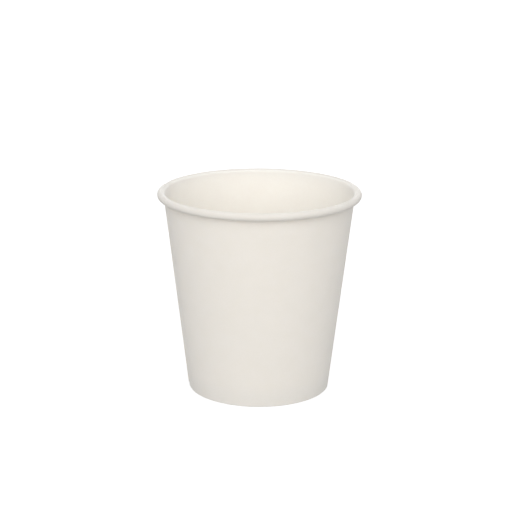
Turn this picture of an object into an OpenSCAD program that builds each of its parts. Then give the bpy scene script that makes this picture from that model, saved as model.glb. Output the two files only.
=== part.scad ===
// Small single-wall paper cup for a hot drink, about 120 ml. Lengths are in millimetres.
// It is two pieces of board. A fan-shaped blank is wrapped into a cone and lapped at the
// side, its top edge is rolled outwards and its bottom edge is folded up inside. A round
// bottom has a turned-down skirt, which is caught in that fold.
// The origin is the centre of the foot on the table, and +Z runs up the cup's axis.

/* [Cup] */
// Diameter over the rolled rim
rim_d = 62; // [58:0.5:74]
// Height from the table to the top of the rim
cup_h = 62; // [52:0.2:90]
// Diameter of the foot where it meets the table
foot_d = 43.2; // [38:0.2:50]

/* [Board] */
// Thickness of the sidewall board
wall_t = 0.3; // [0.24:0.01:0.4]
// Thickness of the bottom board
bottom_t = 0.26; // [0.2:0.01:0.36]

/* [Rim] */
// Thickness of the roll, from its top to its underside
roll_d = 2.3; // [1.8:0.1:3.2]
// Length of board tucked up inside the roll, past the roll's lowest point
tail_len = 1.5; // [0.8:0.1:1.8]
// Gap between the tucked-in end and the wall
tuck_gap = 0.06; // [0.03:0.01:0.12]

/* [Side seam] */
// Width of the lap, where the outer end of the blank lies on the inner one
lap_w = 6; // [4:0.5:9]
// Length of wall over which the outer end climbs onto the inner one
climb_w = 5; // [3:0.5:8]
// How far the two sealed faces are pressed into each other
lap_press = 0.04; // [0.03:0.01:0.08]
// How far the climbing wall stands proud of the wall it meets at either end of the climb
climb_proud = 0.01; // [0.005:0.005:0.02]
// Direction of the seam around the cup, in degrees from +X
seam_az = 165; // [-180:5:180]

/* [Foot] */
// Height of the floor's underside above the table
recess_h = 5.5; // [4:0.1:9]
// Gap between the top of the folded hem and the floor's underside
hem_gap = 0.7; // [0.4:0.1:2]
// Outside radius of the folded edge that the cup stands on
fold_r = 0.25; // [0.1:0.05:0.35]
// Outside radius of the bend between floor and skirt
bend_r = 0.6; // [0.45:0.05:1.2]
// Gap between the pressed faces of wall, skirt and hem
seat_gap = 0.02; // [0.01:0.01:0.06]
// Gap between the skirt's lower edge and the fold
skirt_lift = 0.1; // [0.05:0.05:1]

/* [Hidden] */

board_colour = "#eeeae3";
bottom_colour = "#ebe6dc";

// Steps in a full turn about the cup's axis, and the most that one step of an arc turns
turn_steps = 72;
arc_step = 15;

// Degrees in a full turn and in an arc as long as its radius
full_turn = 360;
radian = 180 / PI;

foot_r = foot_d / 2;

// The roll's section: a round of board whose outer face has the roll's diameter
roll_out = roll_d / 2;
roll_in = roll_out - wall_t;
roll_mid = roll_out - wall_t / 2;
roll_c = [rim_d / 2 - roll_out, cup_h - roll_out];

// The wall leans out by the angle at which its outer face runs from the foot's edge
// and just meets the inside of the roll
to_roll = roll_c - [foot_r, 0];
lean = atan2(to_roll.x, to_roll.y) - asin(roll_in / norm(to_roll));

// The tucked-in end bends more tightly, to pass the wall with the tuck gap
tail_mid = (roll_in + roll_mid * sin(lean) - wall_t / 2 - tuck_gap) / (1 + sin(lean));
tail_c = roll_c - [0, roll_mid - tail_mid];

// Level widths of the layers that stand side by side at the foot
wall_w = wall_t / cos(lean);
skirt_w = bottom_t / cos(lean);
seat_w = seat_gap / cos(lean);

// Radius of each face at a height above the table, from the outside inwards
function wall_out(z) = foot_r + z * tan(lean);
function wall_in(z) = wall_out(z) - wall_w;
function skirt_out(z) = wall_in(z) - seat_w;
function skirt_in(z) = skirt_out(z) - skirt_w;
function hem_out(z) = skirt_in(z) - seat_w;
function hem_in(z) = hem_out(z) - wall_w;

hem_top = recess_h - hem_gap;
fold_round = min(fold_r, 0.9 * wall_t);

// The outer end of the blank stands off by one board, and climbs there along a cone
// whose axis is set to one side, so that its wall nears the inner end at a slant
lap_step = wall_w - lap_press;
mid_r = wall_out(cup_h / 2);
lap_turn = round(10 * radian * lap_w / mid_r) / 10;
climb_turn = round(10 * radian * climb_w / mid_r) / 10;
climb_shift = lap_step * (1 + lap_step / (2 * foot_r)) / sin(climb_turn);
climb_grow = norm([foot_r + lap_step, climb_shift]) - foot_r + climb_proud;

// Points along an arc of the section, from one angle to another
function arc(c, r, from, to, first = 0) =
    let (steps = ceil(abs(to - from) / arc_step))
    [for (i = [first:steps]) let (at = from + (to - from) * i / steps) c + r * [cos(at), sin(at)]];

// A face of the roll that lies so deep in the board: one round, then the end tucked in
// beside the wall; and the same face the other way round
tail_end = -90 - radian * tail_len / tail_mid;
function roll_face(depth) = concat(
    arc(roll_c, roll_out - depth, 180 - lean, -90),
    arc(tail_c, tail_mid + wall_t / 2 - depth, -90, tail_end, first = 1)
);
function back_from(points) = [for (i = [len(points) - 1:-1:0]) points[i]];

roll_over = roll_face(0);
roll_under = back_from(roll_face(wall_t));

// Where the wall's faces, inner and outer, run into the roll, and where the roll's root ends
wall_top = [roll_over[0], roll_under[len(roll_under) - 1]];
root_z = roll_c.y - roll_out;
roll_root = [[wall_out(root_z), root_z], [wall_in(root_z), root_z]];

// The two rounded edges of the fold that the cup stands on
outer_edge = arc([wall_out(fold_round) - fold_round / cos(lean), fold_round], fold_round, -lean, -90);
inner_edge = arc([hem_in(fold_round) + fold_round / cos(lean), fold_round], fold_round, 270, 180 - lean);
hem_edge = [[hem_in(hem_top), hem_top], [hem_out(hem_top), hem_top]];

// The board's section, whole and in its parts: the channel between wall and hem is open upwards
board_outline = concat(
    roll_over, roll_under, outer_edge, inner_edge, hem_edge,
    [[hem_out(wall_t), wall_t], [wall_in(wall_t), wall_t]]
);
roll_outline = concat(roll_over, roll_under, roll_root);
wall_outline = concat(wall_top, outer_edge, [[wall_in(0), 0]]);
lap_outline = concat(
    roll_face(wall_t - lap_press), back_from(roll_face(2 * wall_t - lap_press)),
    [for (at = outer_edge) at + [lap_step, 0]], [[wall_out(0) - lap_press, 0]]
);
hem_outline = concat(inner_edge, hem_edge, [[hem_out(0), 0]]);
foot_outline = concat(
    [[wall_out(wall_t), wall_t]],
    outer_edge, inner_edge, hem_edge,
    [[hem_out(wall_t), wall_t]]
);

// Turns a section about the cup's axis, from one angle on
module turned(from, turn) {
    rotate_extrude(angle = turn, start = from, $fn = turn_steps) children();
}

// The outer end of the blank where it climbs onto the inner one; roll and fold stay round
module climb() {
    from = full_turn - climb_turn;
    intersection() {
        translate([0, climb_shift]) rotate_extrude($fn = turn_steps)
            translate([climb_grow, 0]) polygon(wall_outline);
        turned(from, climb_turn) translate([foot_r / 2, -1]) square([rim_d, cup_h + 2]);
    }
    turned(from, climb_turn) {
        polygon(roll_outline);
        polygon(foot_outline);
    }
}

// The lap: a second layer on the wall's outer face and round inside the roll, and one on
// the hem's inner face
module lap() {
    turned(0, lap_turn) {
        polygon(board_outline);
        polygon(lap_outline);
        translate([-lap_step, 0]) polygon(hem_outline);
    }
}

module sidewall() {
    color(board_colour) rotate(seam_az) {
        turned(lap_turn, full_turn - lap_turn - climb_turn) polygon(board_outline);
        lap();
        climb();
    }
}

// The round bottom: floor, bend, and a skirt that leans with the wall
module bottom() {
    floor_top = recess_h + bottom_t;
    bend_z = floor_top - bend_r;
    bend_c = [skirt_out(bend_z) - bend_r / cos(lean), bend_z];
    skirt_foot = wall_t + skirt_lift;
    color(bottom_colour) rotate_extrude($fn = turn_steps) polygon(concat(
        [[0, recess_h], [0, floor_top]],
        arc(bend_c, bend_r, 90, -lean),
        [[skirt_out(skirt_foot), skirt_foot], [skirt_in(skirt_foot), skirt_foot]],
        arc(bend_c, bend_r - bottom_t, -lean, 90)
    ));
}

sidewall();
bottom();
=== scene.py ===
# %% [markdown]
# # A plain paper coffee cup
#
# The cup is two pieces of board. A fan-shaped blank is wrapped into a cone, lapped at the
# side, rolled outwards at the top and folded up inside at the foot. A round bottom with a
# turned-down skirt is caught in that fold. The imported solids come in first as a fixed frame:
# they say where everything is and how large it may be.

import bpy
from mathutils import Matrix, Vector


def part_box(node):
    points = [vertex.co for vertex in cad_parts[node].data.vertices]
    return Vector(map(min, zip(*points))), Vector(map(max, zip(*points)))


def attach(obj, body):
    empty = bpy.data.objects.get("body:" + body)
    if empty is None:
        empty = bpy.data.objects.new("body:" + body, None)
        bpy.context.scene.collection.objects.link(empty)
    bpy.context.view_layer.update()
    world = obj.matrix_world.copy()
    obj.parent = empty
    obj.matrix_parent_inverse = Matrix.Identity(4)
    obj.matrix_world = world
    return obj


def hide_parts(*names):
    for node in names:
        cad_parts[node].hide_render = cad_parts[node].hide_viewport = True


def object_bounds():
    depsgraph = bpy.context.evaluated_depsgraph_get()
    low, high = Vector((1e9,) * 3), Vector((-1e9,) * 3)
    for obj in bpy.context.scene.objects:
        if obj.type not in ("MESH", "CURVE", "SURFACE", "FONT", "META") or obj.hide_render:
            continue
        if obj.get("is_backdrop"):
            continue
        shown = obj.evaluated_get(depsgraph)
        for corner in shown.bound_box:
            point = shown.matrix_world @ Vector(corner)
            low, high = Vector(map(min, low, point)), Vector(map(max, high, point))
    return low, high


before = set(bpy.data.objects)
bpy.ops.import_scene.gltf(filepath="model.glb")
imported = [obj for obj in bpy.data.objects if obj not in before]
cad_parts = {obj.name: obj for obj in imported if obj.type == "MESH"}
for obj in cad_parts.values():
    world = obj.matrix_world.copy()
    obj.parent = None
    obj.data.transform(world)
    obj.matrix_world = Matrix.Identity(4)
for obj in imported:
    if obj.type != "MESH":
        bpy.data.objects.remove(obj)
cad_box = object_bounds()
print("nodes in the frame:", sorted(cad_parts))
print("box in mm:", [[round(1000 * x, 2) for x in corner] for corner in cad_box])

# %% [markdown]
# ## Sizes
#
# The board is 0.3 millimetres thick, so everything is worked out in millimetres and turned
# to metres at the end, by `MM`. The rim's radius and the cup's height are read off
# the frame. The other sizes are those of the board and of the tools that shape it.

# %% Name the sizes
import math

import bmesh
import bpy
from mathutils import Matrix, Vector

MM = 0.001

wall_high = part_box("sidewall")[1]
RIM_R = min(wall_high.x, wall_high.y) / MM
CUP_H = wall_high.z / MM

FOOT_R = 21.6  # of the wall's outer face, where it meets the table
WALL_T = 0.30  # thickness of the sidewall board
BOTTOM_T = 0.26  # thickness of the bottom board
ROLL_OUT = 1.15  # outer radius of the rolled rim's section
TUCK_GAP = 0.06  # between the rolled-in end and the wall
TAIL_LEN = 1.5  # board that is tucked up past the roll's lowest point
RECESS_H = 5.5  # from the table to the floor's underside
HEM_GAP = 0.7  # from the hem's top to the floor's underside
FOLD_R = 0.25  # outer radius of the folded edge that the cup stands on
SEAT_GAP = 0.02  # between the pressed faces of wall, skirt and hem
GLUE_GAP = 0.01  # between the two layers of the lap
SEAM_AZ = 165  # degrees from +X to the inner end of the blank

print(f"rim radius {RIM_R:.3f} mm, height {CUP_H:.3f} mm")

# %% [markdown]
# ## The wall's section
#
# Cut the cup from top to bottom and the blank shows as one line of board: round the roll,
# straight down the wall, round the fold and up again as the hem. The lean of the wall
# follows from three things: it starts at the foot's edge, it is straight, and its outer
# face just touches the inside of the roll.

# %% Work out the wall's lean
ROLL_IN = ROLL_OUT - WALL_T
ROLL_MID = ROLL_OUT - WALL_T / 2
roll_c = Vector((RIM_R - ROLL_OUT, CUP_H - ROLL_OUT))

to_roll = roll_c - Vector((FOOT_R, 0))
lean = math.atan2(to_roll.x, to_roll.y) - math.asin(ROLL_IN / to_roll.length)

# The tucked-in end bends more tightly, so that it clears the wall.
TAIL_MID = (ROLL_IN + ROLL_MID * math.sin(lean) - WALL_T / 2 - TUCK_GAP) / (1 + math.sin(lean))
tail_c = roll_c - Vector((0, ROLL_MID - TAIL_MID))

level = 1 / math.cos(lean)  # a thickness measured level is this much wider


def wall_out(z):
    """Radius of the wall's outer face at height z."""
    return FOOT_R + z * math.tan(lean)


def wall_in(z):
    return wall_out(z) - WALL_T * level


def skirt_out(z):
    return wall_in(z) - SEAT_GAP * level


def hem_out(z):
    return skirt_out(z) - (BOTTOM_T + SEAT_GAP) * level


def hem_in(z):
    return hem_out(z) - WALL_T * level


print(f"the wall leans out by {math.degrees(lean):.2f} degrees")

# %% [markdown]
# ## One list of points, each with its own notes
#
# The outline of the section is a closed loop of points. Each point also carries four notes
# that the node tree will read later: which way the uncoated side of the board faces there,
# how far a second layer of board lies from the first, how far the first one makes way for
# the second where they lap, and how deep the knurling wheel presses. Geometry Nodes calls
# such notes attributes, and they stay with the points when the section is swept round the cup.

# %% Collect the outline's points
ARC_STEP = 8  # degrees
LAYER_STEP = WALL_T + GLUE_GAP
section = []


def put(r, z, facing, layer=None, way=(0, 0), knurl=0.0):
    """Adds a point: its place, the uncoated side's direction, both layers' steps, the press."""
    facing = Vector(facing).normalized()
    layer = facing * LAYER_STEP if layer is None else Vector(layer)
    section.append(dict(place=(r, z), facing=facing, layer=layer, way=Vector(way), knurl=knurl))


def along_arc(start, end):
    """Angles in radians from start to end, both in degrees, no further apart than ARC_STEP."""
    steps = math.ceil(abs(end - start) / ARC_STEP)
    return [math.radians(start + (end - start) * i / steps) for i in range(steps + 1)]


# Angles round the roll, in degrees: it starts at the wall, and its tucked-in end starts at
# its lowest point.
LEAN_DEG = math.degrees(lean)
ROLL_START = 180 - LEAN_DEG
LOWEST = -90
TAIL_END = LOWEST - math.degrees(TAIL_LEN / TAIL_MID)

# Where the blank laps, the rolling tool squeezes it, so the step on the rim is lower. The
# tucked-in ends move aside there, to clear two layers of wall.
ROLL_STEP = 0.16
ROLL_EASE = 60  # degrees of the roll over which the step drops to that
TAIL_SPARE = 0.05
TAIL_ASIDE = LAYER_STEP + TAIL_SPARE
TAIL_EASE = 90  # degrees past the lowest point over which the ends move that far


def put_roll(centre, radius, start, end, bare=False):
    """Adds an arc of the roll. The bare face of the board looks in, towards the arc's centre."""
    for a in along_arc(start, end):
        ray = Vector((math.cos(a), math.sin(a)))
        pressed = min(1, (ROLL_START - math.degrees(a)) / ROLL_EASE)
        step = LAYER_STEP + (ROLL_STEP - LAYER_STEP) * pressed
        tucked = min(1, max(0, LOWEST - math.degrees(a)) / TAIL_EASE)
        aside = Vector((TAIL_ASIDE * (0.5 - 0.5 * math.cos(math.pi * tucked)), 0))
        thinner = ray * (LAYER_STEP - step) if bare else Vector((0, 0))
        put(*(centre + radius * ray), -ray, aside - ray * step, aside + thinner)


# The film-coated face: over the top of the rim, under it, and up into the roll.
put_roll(roll_c, ROLL_OUT, ROLL_START, LOWEST)
put_roll(tail_c, TAIL_MID + WALL_T / 2, LOWEST - ARC_STEP, TAIL_END)
# The uncoated face, back the same way inside the roll.
put_roll(tail_c, TAIL_MID - WALL_T / 2, TAIL_END, LOWEST - ARC_STEP, bare=True)
put_roll(roll_c, ROLL_IN, LOWEST, ROLL_START, bare=True)
print(len(section), "points round the roll")

# %% [markdown]
# Below the roll the outline runs down the outer face, round the fold, up the inner face of
# the hem and back down the narrow channel that the bottom's skirt sits in. A second layer
# steps outwards on the wall and inwards on the hem. The cup is pressed flat there to stand,
# so the second layer doesn't step down at the fold: the first one lies on it, one board
# higher.

# %% Add the wall, the fold and the hem
OUTWARD = (math.cos(lean), -math.sin(lean))
INWARD = (-math.cos(lean), math.sin(lean))
STEP_OUT = (LAYER_STEP * level, 0)
STEP_IN = (-LAYER_STEP * level, 0)
RISE = (LAYER_STEP * math.tan(lean), LAYER_STEP)  # up along the wall, by one layer's height

HEM_TOP = RECESS_H - HEM_GAP
WALL_ROWS = 10
wall_top_z = section[-1]["place"][1]
wall_foot_z = FOLD_R * (1 - math.sin(lean))

for i in range(1, WALL_ROWS):
    z = wall_top_z + (wall_foot_z - wall_top_z) * i / WALL_ROWS
    put(wall_out(z), z, OUTWARD)

for a in along_arc(-LEAN_DEG, -90):
    ray = Vector((math.cos(a), math.sin(a)))
    place = Vector((wall_out(FOLD_R) - FOLD_R * level, FOLD_R)) + FOLD_R * ray
    put(*place, ray, STEP_OUT, RISE)
for a in along_arc(270, 180 - LEAN_DEG):
    ray = Vector((math.cos(a), math.sin(a)))
    place = Vector((hem_in(FOLD_R) + FOLD_R * level, FOLD_R)) + FOLD_R * ray
    put(*place, ray, STEP_IN, RISE)

# Heights up the hem's inner face, each with the share of the knurl's full depth there.
KNURL_ROWS = [(0.7, 0), (0.95, 0.7), (1.2, 1), (3.6, 1), (3.85, 0.7), (4.1, 0)]
for z, depth in KNURL_ROWS:
    put(hem_in(z), z, INWARD, STEP_IN, knurl=depth)
put(hem_in(HEM_TOP), HEM_TOP, INWARD, STEP_IN)
put(hem_out(HEM_TOP), HEM_TOP, INWARD, STEP_IN)
put(hem_out(WALL_T), WALL_T, INWARD, STEP_IN, RISE)
put(wall_in(WALL_T), WALL_T, OUTWARD, STEP_OUT, RISE)
roll_start_z = section[0]["place"][1]
for i in range(1, WALL_ROWS):
    z = WALL_T + (roll_start_z - WALL_T) * i / WALL_ROWS
    put(wall_in(z), z, OUTWARD)

print(len(section), "points in the whole outline")

# %% [markdown]
# ## From the list to a mesh that carries the notes
#
# The outline becomes a loop of edges in the XZ plane, in metres. A small helper writes each
# note as a named attribute on the loop's points.

# %% Make the outline mesh


def loop_object(name, points):
    """A closed loop of edges through (radius, height) points in mm, in the XZ plane."""
    mesh = bpy.data.meshes.new(name)
    n = len(points)
    verts = [(r * MM, 0, z * MM) for r, z in points]
    mesh.from_pydata(verts, [(i, (i + 1) % n) for i in range(n)], [])
    made = bpy.data.objects.new(name, mesh)
    bpy.context.scene.collection.objects.link(made)
    return made


def note(made, name, kind, values):
    """Writes one value for each point as a named attribute."""
    layer = made.data.attributes.new(name, kind, "POINT")
    for slot, value in zip(layer.data, values):
        if kind == "FLOAT_VECTOR":
            slot.vector = value
        else:
            slot.value = value


blank = loop_object("blank_outline", [p["place"] for p in section])
note(blank, "facing", "FLOAT_VECTOR", [(p["facing"].x, 0, p["facing"].y) for p in section])
for name in ("layer", "way"):
    note(blank, name, "FLOAT_VECTOR", [(p[name].x * MM, 0, p[name].y * MM) for p in section])
note(blank, "knurl", "FLOAT", [p["knurl"] for p in section])
print("attributes:", [a.name for a in blank.data.attributes])

# %% [markdown]
# ## Colours and a helper for nodes
#
# Colours are written as sRGB hex values, as a paint chart gives them, and one function turns
# them to the linear values that Blender computes with. One function adds a node, sets what
# is special about it and links its inputs. It serves both the materials and the shapes.

# %% Define the helpers


def linear(hex_code):
    """An sRGB colour such as '#eeeae4' as linear RGBA."""
    parts = [int(hex_code[i : i + 2], 16) / 255 for i in (1, 3, 5)]
    flat = [c / 12.92 if c <= 0.04045 else ((c + 0.055) / 1.055) ** 2.4 for c in parts]
    return (*flat, 1.0)


def node(tree, kind, inputs=None, **settings):
    """Adds a node with its settings, and links or fills the inputs that are given."""
    made = tree.nodes.new(kind)
    for key, value in settings.items():
        setattr(made, key, value)
    for key, value in (inputs or {}).items():
        if isinstance(value, bpy.types.NodeSocket):
            tree.links.new(value, made.inputs[key])
        else:
            made.inputs[key].default_value = value
    return made


# The mix node has sockets for numbers and vectors first, so its colours come at these places.
COLOUR_A, COLOUR_B, COLOUR_OUT = 6, 7, 2

print("board colour, linear:", [round(c, 3) for c in linear("#eeeae4")])

# %% [markdown]
# ## The board
#
# Cup board is bleached wood pulp: matt, off-white, and made of fibres that lie every way.
# Its uncoated side scatters light almost evenly. Close to, the fibres give it a faint cloud
# of lighter and darker spots and a skin that isn't quite flat. The inside has a film of
# clear plastic, melted on, which gives it a soft gloss. A cut edge shows the pulp itself. The
# shades of the outside and the inside were matched to the photograph.
#
# Board this thin also lets a little light through, which is why the inside of a white cup
# looks brighter than its outside. The shader's subsurface light does that: it wanders about
# a quarter of a millimetre in the pulp, and some of it leaves on the other side.
#
# Two clouds of spots, a wide one and a fine one, are added up to drift between two shades,
# and the fine one also makes the skin uneven.

# %% Write what all three finishes share
LIGHT_DEPTH = 0.25  # mm that light wanders in the pulp
SPOT_ROUGHNESS = 0.6  # how strongly the finer spots show within a cloud
DARKEST, LIGHTEST = 0.7, 1.3  # the two clouds' sum where the shade is wholly dark or light


def spots(tree, size_mm, detail):
    """A cloud of spots of about that size, from 0 to 1, fixed to the piece."""
    inputs = {
        "Vector": node(tree, "ShaderNodeTexCoord").outputs["Object"],
        "Scale": 1 / (size_mm * MM),
        "Detail": detail,
        "Roughness": SPOT_ROUGHNESS,
    }
    return node(tree, "ShaderNodeTexNoise", inputs).outputs["Fac"]


def board(name, light, dark, roughness, gloss, cloud_mm, fibre_mm, skin_mm):
    """Board that drifts between two shades; its skin is uneven by skin_mm from fibre to fibre."""
    material = bpy.data.materials.new(name)
    material.use_nodes = True
    tree = material.node_tree
    cloud = spots(tree, cloud_mm, detail=2)
    fibres = spots(tree, fibre_mm, detail=5)
    both = node(tree, "ShaderNodeMath", {0: cloud, 1: fibres}, operation="ADD").outputs[0]
    share = {"Value": both, "From Min": DARKEST, "From Max": LIGHTEST}
    share = node(tree, "ShaderNodeMapRange", share).outputs[0]
    shade = {0: share, COLOUR_A: linear(dark), COLOUR_B: linear(light)}
    colour = node(tree, "ShaderNodeMix", shade, data_type="RGBA")
    uneven = {"Height": fibres, "Strength": 1.0, "Distance": skin_mm * MM}
    skin = node(tree, "ShaderNodeBump", uneven)
    shader = tree.nodes["Principled BSDF"]
    tree.links.new(colour.outputs[COLOUR_OUT], shader.inputs["Base Color"])
    tree.links.new(skin.outputs[0], shader.inputs["Normal"])
    shader.inputs["Roughness"].default_value = roughness
    shader.inputs["Specular IOR Level"].default_value = gloss
    shader.inputs["Subsurface Weight"].default_value = 1.0
    shader.inputs["Subsurface Radius"].default_value = (1.0, 1.0, 1.0)
    shader.inputs["Subsurface Scale"].default_value = LIGHT_DEPTH * MM
    return material


# %% Make the three finishes
# Uncoated cup board, calendered: matt, with a faint cloud. Real fibres are 0.03 mm wide and
# wouldn't show, so the grain is drawn at the size of the small clumps that they form.
uncoated = board("uncoated_cup_board", "#eeeae4", "#ece8e1", 0.85, 0.5, 5.0, 0.5, 0.006)

# The same board under melted-on polyethylene film: a soft gloss, slightly lighter.
filmed = board("film_coated_cup_board", "#f5f2ec", "#f3efe9", 0.55, 0.3, 5.0, 0.8, 0.004)

# The pulp at a cut edge: duller, a little darker and warmer, and fuzzy.
cut_edge = board("raw_cut_edge_of_board", "#ebe7de", "#e5e0d6", 0.95, 0.5, 2.0, 0.25, 0.01)
print("finishes:", [m.name for m in (uncoated, filmed, cut_edge)])

# %% [markdown]
# In the photograph the rim is a touch darker than the inside of the cup. This is painted shade:
# the film's own colour is multiplied by a pale grey wherever the board is further from the cup's
# axis than the inner wall ever gets.

# %% Paint shade on the film of the rolled rim
# Painted shade: the pale grey that darkens the film on the rolled rim.
PAINTED_RIM_SHADE = "#f1f0ef"
PAINTED_SHADE_FROM = roll_c.x - 0.9  # radius, in mm, where the shade begins
PAINTED_SHADE_FULL = roll_c.x - 0.3  # and where it is complete

tree = filmed.node_tree
coords = node(tree, "ShaderNodeTexCoord").outputs["Object"]
flat = node(tree, "ShaderNodeVectorMath", {0: coords, 1: (1, 1, 0)}, operation="MULTIPLY")
flat = flat.outputs[0]
radius = node(tree, "ShaderNodeVectorMath", {0: flat}, operation="LENGTH").outputs["Value"]
# How much of the painted shade falls at each radius, from none inside to all of it on the rim.
painted_shade_share = {"Value": radius, "From Min": PAINTED_SHADE_FROM * MM, "From Max": PAINTED_SHADE_FULL * MM}
painted_shade_share = node(tree, "ShaderNodeMapRange", painted_shade_share, interpolation_type="SMOOTHSTEP").outputs[0]
shader = tree.nodes["Principled BSDF"]
plain_film = shader.inputs["Base Color"].links[0].from_socket
# The painted shade itself: the film's colour times the pale grey.
shaded = {0: painted_shade_share, COLOUR_A: plain_film, COLOUR_B: linear(PAINTED_RIM_SHADE)}
shaded = node(tree, "ShaderNodeMix", shaded, data_type="RGBA", blend_type="MULTIPLY")
tree.links.new(shaded.outputs[COLOUR_OUT], shader.inputs["Base Color"])
print("the film is shaded from", round(PAINTED_SHADE_FROM, 2), "mm outwards")

# %% [markdown]
# ## Wrapping the blank
#
# The blank is wrapped once round and a little more, and that follows a rule: at every angle
# the section is the same, and near the end of the turn it steps aside by one thickness of
# board, to lie on the part it started with. A Geometry Nodes tree can say that in one go.
# It sweeps the outline along a straight line first, so that every point knows two things, its
# place in the section and its angle in the turn. Then one Set Position bends the sweep
# round the cup's axis. The knurling wheel's marks on the hem are a wave in the same step.

# %% Start the tree and name its inputs
wrap = bpy.data.node_groups.new("wrap_board", "GeometryNodeTree")
wrap.interface.new_socket("Geometry", in_out="INPUT", socket_type="NodeSocketGeometry")
for label in ("Start", "Turn", "Climb Start", "Climb End", "Lap End", "Drop End", "Press Depth"):
    wrap.interface.new_socket(label, in_out="INPUT", socket_type="NodeSocketFloat")
for label in ("Stations", "Marks"):
    wrap.interface.new_socket(label, in_out="INPUT", socket_type="NodeSocketInt")
for label in ("Uncoated Side", "Film Side", "Cut Edge"):
    wrap.interface.new_socket(label, in_out="INPUT", socket_type="NodeSocketMaterial")
wrap.interface.new_socket("Geometry", in_out="OUTPUT", socket_type="NodeSocketGeometry")
given = node(wrap, "NodeGroupInput").outputs
print("inputs:", [s.name for s in given if s.name])

# %% [markdown]
# The sweep needs two curves. The outline is one, and each of its points remembers its place.
# The path is the other: a straight line with a station at either end of each slice of the
# turn, and each station remembers its angle. Both memories stay with the swept mesh.

# %% Sweep the outline along a line


def maths(operation, a, b=0.0):
    """One step of arithmetic in the wrapping tree."""
    return node(wrap, "ShaderNodeMath", {0: a, 1: b}, operation=operation).outputs[0]


def remember(curve, label, kind, value):
    """Stores a value on each point of a curve, and gives back the curve and the memory."""
    made = wrap.nodes.new("GeometryNodeCaptureAttribute")
    made.capture_items.new(kind, label)
    wrap.links.new(curve, made.inputs["Geometry"])
    wrap.links.new(value, made.inputs[label])
    return made.outputs["Geometry"], made.outputs[label]


outline = node(wrap, "GeometryNodeMeshToCurve", {"Mesh": given["Geometry"]}).outputs[0]
place = node(wrap, "GeometryNodeInputPosition").outputs[0]
outline, place = remember(outline, "Place", "VECTOR", place)

line = node(wrap, "GeometryNodeCurvePrimitiveLine", {"End": (0, 0, 1)}).outputs[0]
stations = {"Curve": line, "Count": given["Stations"]}
path = node(wrap, "GeometryNodeResampleCurve", stations, mode="COUNT").outputs[0]
share = node(wrap, "GeometryNodeSplineParameter").outputs["Factor"]
path, angle = remember(path, "Angle", "FLOAT", maths("MULTIPLY", share, given["Turn"]))

sweep = {"Curve": path, "Profile Curve": outline, "Fill Caps": True}
swept = node(wrap, "GeometryNodeCurveToMesh", sweep).outputs[0]
print(len(wrap.nodes), "nodes so far")

# %% [markdown]
# Now the rule. The climb goes smoothly from nothing to one whole step. The first layer makes
# way from the start, and goes back to its place where the lap ends. The wave of the knurl is
# a cosine of the angle times the number of marks, shifted so that it only presses in. All
# three shift the point within the section, and the shifted point is then turned to its angle.

# %% Bend the sweep round the cup's axis


def vectors(operation, a, b, output=0):
    """One step of vector arithmetic in the wrapping tree; SCALE takes a number as b."""
    second = "Scale" if operation == "SCALE" else 1
    made = node(wrap, "ShaderNodeVectorMath", {0: a, second: b}, operation=operation)
    return made.outputs[output]


def noted(name, kind):
    """Reads one of the notes that came with the outline."""
    return node(wrap, "GeometryNodeInputNamedAttribute", {"Name": name}, data_type=kind).outputs[0]


def turned(vector, cosine, sine):
    """Turns a vector of the XZ plane about Z."""
    parts = node(wrap, "ShaderNodeSeparateXYZ", {0: vector}).outputs
    x, y = maths("MULTIPLY", parts[0], cosine), maths("MULTIPLY", parts[0], sine)
    return node(wrap, "ShaderNodeCombineXYZ", {0: x, 1: y, 2: parts[2]}).outputs[0]


span = {"Value": angle, "From Min": given["Climb Start"], "From Max": given["Climb End"]}
climb = node(wrap, "ShaderNodeMapRange", span, interpolation_type="SMOOTHSTEP").outputs[0]
step = vectors("SCALE", noted("layer", "FLOAT_VECTOR"), climb)

span = {"Value": angle, "From Min": given["Lap End"], "From Max": given["Drop End"]}
dropped = node(wrap, "ShaderNodeMapRange", span).outputs[0]
made_way = vectors("SCALE", noted("way", "FLOAT_VECTOR"), maths("SUBTRACT", 1.0, dropped))
step = vectors("ADD", step, made_way)

wave = maths("COSINE", maths("MULTIPLY", angle, given["Marks"]))
wave = maths("MULTIPLY", maths("ADD", wave, 1.0), -0.5)
depth = maths("MULTIPLY", maths("MULTIPLY", wave, given["Press Depth"]), noted("knurl", "FLOAT"))
facing = noted("facing", "FLOAT_VECTOR")
pressed = vectors("SCALE", facing, depth)

heading = maths("ADD", angle, given["Start"])
cosine, sine = maths("COSINE", heading), maths("SINE", heading)
target = turned(vectors("ADD", vectors("ADD", place, step), pressed), cosine, sine)
wrapped = node(wrap, "GeometryNodeSetPosition", {"Geometry": swept, "Position": target}).outputs[0]
print(len(wrap.nodes), "nodes so far")

# %% [markdown]
# The same note that says which way the uncoated side faces also tells the three finishes
# apart. Where a face looks that way it is uncoated, where it looks the other way it has the
# film, and where it looks along the board it is a cut edge. Edges that turn sharply are kept
# crisp, and all others are shaded smooth.

# %% Give each face its finish and end the tree
EDGE_SHARE = 0.3  # a cut edge's faces look less than this far along either side
CRISP_TURN = 0.5  # radians between two faces above which their edge is crisp

looks = node(wrap, "GeometryNodeInputNormal").outputs[0]
side = vectors("DOT_PRODUCT", looks, turned(facing, cosine, sine), output="Value")


def finish(geometry, material, selection=True):
    inputs = {"Geometry": geometry, "Selection": selection, "Material": material}
    return node(wrap, "GeometryNodeSetMaterial", inputs).outputs[0]


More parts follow.
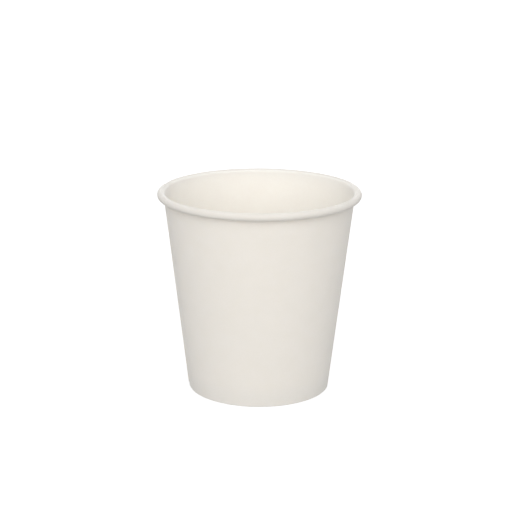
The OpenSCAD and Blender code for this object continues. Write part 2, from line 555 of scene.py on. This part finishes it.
smooth = {"Geometry": wrapped, "Shade Smooth": True}
shaped = node(wrap, "GeometryNodeSetShadeSmooth", smooth, domain="FACE").outputs[0]
turn_at_edge = node(wrap, "GeometryNodeInputMeshEdgeAngle").outputs["Unsigned Angle"]
is_crisp = maths("GREATER_THAN", turn_at_edge, CRISP_TURN)
crisp = {"Geometry": shaped, "Selection": is_crisp, "Shade Smooth": False}
shaped = node(wrap, "GeometryNodeSetShadeSmooth", crisp, domain="EDGE").outputs[0]
real = node(wrap, "GeometryNodeRealizeInstances", {"Geometry": shaped}).outputs[0]
real = finish(real, given["Cut Edge"])
real = finish(real, given["Uncoated Side"], maths("GREATER_THAN", side, EDGE_SHARE))
real = finish(real, given["Film Side"], maths("LESS_THAN", side, -EDGE_SHARE))
node(wrap, "NodeGroupOutput", {"Geometry": real})
print(len(wrap.nodes), "nodes in the tree")

# %% [markdown]
# ## Running the tree
#
# The knurling wheel leaves 84 marks round the foot, about a millimetre and a half apart. Six
# slices for each mark are enough to draw it, and the lap is a whole number of slices long, so
# its end falls on a station. The pressed fold is back on the table one slice after that.

# %% Wrap the blank
MARKS = 84
SLICES_PER_MARK = 6
SLICES = MARKS * SLICES_PER_MARK
LAP_SLICES = 19
CLIMB_W = 5.0  # length of wall over which the outer end climbs onto the inner one
PRESS_DEPTH = 0.07  # of the knurling wheel

slice_turn = 2 * math.pi / SLICES
turn = slice_turn * (SLICES + LAP_SLICES)
mid_r = wall_out(CUP_H / 2)
settings = {
    "Start": math.radians(SEAM_AZ),
    "Turn": turn,
    "Climb Start": 2 * math.pi - CLIMB_W / mid_r,
    "Climb End": 2 * math.pi,
    "Lap End": slice_turn * LAP_SLICES,
    "Drop End": slice_turn * (LAP_SLICES + 1),
    "Press Depth": PRESS_DEPTH * MM,
    "Stations": SLICES + LAP_SLICES + 1,
    "Marks": MARKS,
    "Uncoated Side": uncoated,
    "Film Side": filmed,
    "Cut Edge": cut_edge,
}
modifier = blank.modifiers.new("wrap", "NODES")
modifier.node_group = wrap
for socket in wrap.interface.items_tree:
    if socket.name in settings and socket.in_out == "INPUT":
        modifier[socket.identifier] = settings[socket.name]
print(f"the lap is {(turn - 2 * math.pi) * mid_r:.2f} mm wide")

# %% [markdown]
# The modifier's result becomes a plain mesh of its own, and the outline that it grew from is
# removed. A closed surface whose faces point outwards has a positive volume, and board of
# this size should come to about three and a half cubic centimetres, which tests both.

# %% Keep the result as the cup's wall


def baked(source, name):
    """The evaluated object as a plain mesh object; the source is removed."""
    depsgraph = bpy.context.evaluated_depsgraph_get()
    mesh = bpy.data.meshes.new_from_object(source.evaluated_get(depsgraph), depsgraph=depsgraph)
    bpy.data.objects.remove(source)
    made = bpy.data.objects.new(name, mesh)
    mesh.name = name
    bpy.context.scene.collection.objects.link(made)
    return made


def outwards(made):
    """Turns the faces outwards if they point in, and gives the volume in cubic mm."""
    work = bmesh.new()
    work.from_mesh(made.data)
    volume = work.calc_volume(signed=True)
    if volume < 0:
        bmesh.ops.reverse_faces(work, faces=work.faces)
        work.to_mesh(made.data)
    work.free()
    return abs(volume) / MM**3


cup_wall = baked(blank, "cup_wall")
volume = outwards(cup_wall)
triangles = sum(len(p.vertices) - 2 for p in cup_wall.data.polygons)
print(f"cup_wall: {triangles} triangles, {volume:.0f} cubic mm of board")

# %% [markdown]
# ## The bottom
#
# The bottom is a round blank pressed over a die: a flat floor, a tight bend and a skirt that
# leans with the wall. Its shape is the same all the way round, so it is a half section spun
# about the axis, which the Screw modifier does without any height. Both ends of the section
# lie on the axis, and merging them there closes the middle.

# %% Draw the bottom's half section
BEND_R = 0.6
SKIRT_LIFT = 0.1  # from the fold's upper layer to the skirt's foot
SKIRT_FOOT = 2 * WALL_T + SKIRT_LIFT  # clears both layers of the lap's fold
CROWN = 0.12  # the floor stands this much higher in its middle, as pressed board does
FLOOR_ROWS = 8

floor_top = RECESS_H + BOTTOM_T
bend_z = floor_top - BEND_R
bend_c = Vector((skirt_out(bend_z) - BEND_R * level, bend_z))


def floor_at(r, z):
    """A point of the floor, raised by the crown."""
    return Vector((r, z + CROWN * (0.5 + 0.5 * math.cos(math.pi * r / bend_c.x))))


def bend(radius, start, end):
    return [bend_c + radius * Vector((math.cos(a), math.sin(a))) for a in along_arc(start, end)]


radii = [bend_c.x * i / FLOOR_ROWS for i in range(FLOOR_ROWS)]
half = [floor_at(r, floor_top) for r in radii]
half += bend(BEND_R, 90, -LEAN_DEG)
half += [Vector((skirt_out(SKIRT_FOOT), SKIRT_FOOT))]
half += [Vector((skirt_out(SKIRT_FOOT) - BOTTOM_T * level, SKIRT_FOOT))]
half += bend(BEND_R - BOTTOM_T, -LEAN_DEG, 90)
half += [floor_at(r, RECESS_H) for r in reversed(radii)]
print(len(half), "points in the half section")

# %% Spin it about the axis
SPIN_STEPS = 168
SAME_PLACE = 1e-6  # metres; points nearer than this are merged

half_mesh = bpy.data.meshes.new("half_section")
verts = [(p.x * MM, 0, p.y * MM) for p in half]
half_mesh.from_pydata(verts, [(i, i + 1) for i in range(len(half) - 1)], [])
half_section = bpy.data.objects.new("half_section", half_mesh)
bpy.context.scene.collection.objects.link(half_section)

spin = half_section.modifiers.new("spin", "SCREW")
spin.steps = spin.render_steps = SPIN_STEPS
spin.use_merge_vertices = True
spin.merge_threshold = SAME_PLACE

cup_bottom = baked(half_section, "cup_bottom")
volume = outwards(cup_bottom)
print(f"cup_bottom: {len(cup_bottom.data.polygons)} faces, {volume:.0f} cubic mm of board")

# %% Give the bottom its finishes
# The film is on the side that meets the drink and the wall; the other side is bare. The cut
# edge is the row of faces that lies level at the skirt's foot.
BARE, FILM, EDGE = range(3)
LEVEL_WITHIN = 0.01  # mm above the skirt's foot in which a face counts as the cut edge
SHARP_TURN = math.radians(40)  # edges that turn more than this are kept crisp

for material in (uncoated, filmed, cut_edge):
    cup_bottom.data.materials.append(material)
for face in cup_bottom.data.polygons:
    centre, looks_to = face.center, face.normal
    outward = (looks_to.x * centre.x + looks_to.y * centre.y) / math.hypot(centre.x, centre.y)
    if centre.z < (SKIRT_FOOT + LEVEL_WITHIN) * MM:
        face.material_index = EDGE
    else:
        face.material_index = FILM if outward + looks_to.z > 0 else BARE
    face.use_smooth = True
cup_bottom.data.set_sharp_from_angle(angle=SHARP_TURN)
finishes = (BARE, FILM, EDGE)
counts = [sum(f.material_index == i for f in cup_bottom.data.polygons) for i in finishes]
print("faces with each finish:", counts)

# %% [markdown]
# ## Joining the frame
#
# Each piece stands for one imported solid and rides on the cup's only body. Nothing on a paper cup
# moves.

# %% Put the pieces in the frame
for piece, solid, finish_slot in (
    (cup_wall, "sidewall", "sidewall_board"),
    (cup_bottom, "bottom", "bottom_board"),
):
    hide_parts(solid)
    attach(piece, "root")
    print(piece.name, "stands for", solid)

# %% [markdown]
# ## Floor and light
#
# The cup was photographed on pure white, in light so even that it threw no clear shadow. The
# floor here is pale and catches a soft shadow. Seen directly or mirrored it also glows a little,
# so that its lit part reads as white while the shadow under the cup stays. The glow sheds no
# light on the cup but its mirror image.

# %% Lay the floor
FLOOR_HALF = 6.0  # metres
FLOOR_DROP = 0.01  # mm below the foot, so that the two don't share a plane

floor_mesh = bpy.data.meshes.new("floor")
corners = [(-1, -1), (1, -1), (1, 1), (-1, 1)]
verts = [(x * FLOOR_HALF, y * FLOOR_HALF, -FLOOR_DROP * MM) for x, y in corners]
floor_mesh.from_pydata(verts, [], [(0, 1, 2, 3)])
floor = bpy.data.objects.new("floor", floor_mesh)
bpy.context.scene.collection.objects.link(floor)
floor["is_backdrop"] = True


def seen_directly(tree):
    """1 for rays that should meet the plain white studio, seen straight, mirrored or through."""
    rays = node(tree, "ShaderNodeLightPath").outputs
    either = {0: rays["Is Camera Ray"], 1: rays["Is Glossy Ray"]}
    either = node(tree, "ShaderNodeMath", either, operation="MAXIMUM").outputs[0]
    either = {0: either, 1: rays["Is Transmission Ray"]}
    return node(tree, "ShaderNodeMath", either, operation="MAXIMUM").outputs[0]


# Backdrop paper, pale grey and quite matt: no shine, so nothing of the cup is mirrored in it.
GLOW = 0.62  # seen on top of the light that the paper scatters; 1 is white
paper = bpy.data.materials.new("matt_pale_backdrop_paper")
paper.use_nodes = True
tree = paper.node_tree
matt = tree.nodes["Principled BSDF"]
matt.inputs["Base Color"].default_value = linear("#c4c4c4")
matt.inputs["Roughness"].default_value = 1.0
matt.inputs["Specular IOR Level"].default_value = 0.0
matt.inputs["Emission Color"].default_value = linear("#ffffff")
glow = node(tree, "ShaderNodeMath", {0: seen_directly(tree), 1: GLOW}, operation="MULTIPLY")
tree.links.new(glow.outputs[0], matt.inputs["Emission Strength"])
floor_mesh.materials.append(paper)
print("floor:", FLOOR_HALF * 2, "m across")

# %% [markdown]
# Most of the light comes evenly from all round, which is the world's colour. One very large
# soft lamp in front gives the wall its slow fall towards both sides. It hangs rather low, so
# that it also reaches the wall right under the rolled rim. A weaker one behind, lower still,
# keeps the back of the cup from going grey. Seen directly or mirrored the world is plain white.

# %% Hang the lights
AMBIENT = 0.65  # 1 is as bright as white itself
LAMP_DISTANCE, LAMP_SIZE = 1.2, 1.0  # metres

world = bpy.data.worlds.new("even_studio_light")
world.use_nodes = True
tree = world.node_tree
tree.nodes.clear()
even = node(tree, "ShaderNodeBackground", {"Color": linear("#ffffff"), "Strength": AMBIENT})
white = node(tree, "ShaderNodeBackground", {"Color": linear("#ffffff"), "Strength": 1.0})
sky = {0: seen_directly(tree), 1: even.outputs[0], 2: white.outputs[0]}
sky = node(tree, "ShaderNodeMixShader", sky)
node(tree, "ShaderNodeOutputWorld", {"Surface": sky.outputs[0]})
bpy.context.scene.world = world


def soft_lamp(name, azimuth, elevation, watts):
    """A square white lamp that looks at the cup's middle. Azimuth 0 is the viewer's side."""
    data = bpy.data.lights.new(name, "AREA")
    data.size, data.energy = LAMP_SIZE, watts
    lamp = bpy.data.objects.new(name, data)
    a, e = math.radians(azimuth), math.radians(elevation)
    away = Vector((math.sin(a) * math.cos(e), -math.cos(a) * math.cos(e), math.sin(e)))
    lamp.location = away * LAMP_DISTANCE + Vector((0, 0, CUP_H / 2 * MM))
    lamp.rotation_euler = away.to_track_quat("Z", "Y").to_euler()
    bpy.context.scene.collection.objects.link(lamp)


soft_lamp("front_softbox", azimuth=-2, elevation=31, watts=8.0)
soft_lamp("low_back_softbox", azimuth=176, elevation=15, watts=2.8)

# %% [markdown]
# ## The camera
#
# The photograph looks down on the cup by almost 17 degrees with a long lens. The cup stands low in
# the picture and a touch to the right, so after aiming at the cup's middle the camera is
# turned a little about its own axes.

# %% Set up the camera
LENS = 113.35  # mm of focal length, on a sensor 36 mm wide
DISTANCE = 495.3  # mm from the cup's middle
ELEVATION = math.radians(16.685)
TILT_UP, TURN_LEFT, ROLL = (math.radians(x) for x in (1.1664, 0.1504, 0.2707))

camera_data = bpy.data.cameras.new("photo_camera")
camera_data.sensor_width = 36
camera_data.lens = LENS
camera_data.clip_start = 0.01
camera = bpy.data.objects.new("photo_camera", camera_data)
bpy.context.scene.collection.objects.link(camera)

middle = Vector((0, 0, CUP_H / 2))
away = Vector((0, -math.cos(ELEVATION), math.sin(ELEVATION)))
place_of_camera = Matrix.Translation((middle + away * DISTANCE) * MM)
aim = away.to_track_quat("Z", "Y").to_matrix().to_4x4()
trim = Matrix.Rotation(TILT_UP, 4, "X") @ Matrix.Rotation(TURN_LEFT, 4, "Y")
trim = trim @ Matrix.Rotation(ROLL, 4, "Z")
camera.matrix_world = place_of_camera @ aim @ trim
bpy.context.scene.camera = camera
bpy.context.scene.view_settings.view_transform = "Standard"
print("camera at", [round(x, 4) for x in camera.location])

# %% [markdown]
# ## The last check
#
# Board is thin, so a piece that is half a millimetre too large would show. The boxes of the
# imported solids and of the finished pieces are written side by side.

# %% Print the boxes and finish
piece_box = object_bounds()
boxes = {"cad": [list(corner) for corner in cad_box], "visual": [list(corner) for corner in piece_box]}
for name, box in boxes.items():
    print(name, "box in mm:", [[round(x / MM, 3) for x in corner] for corner in box])
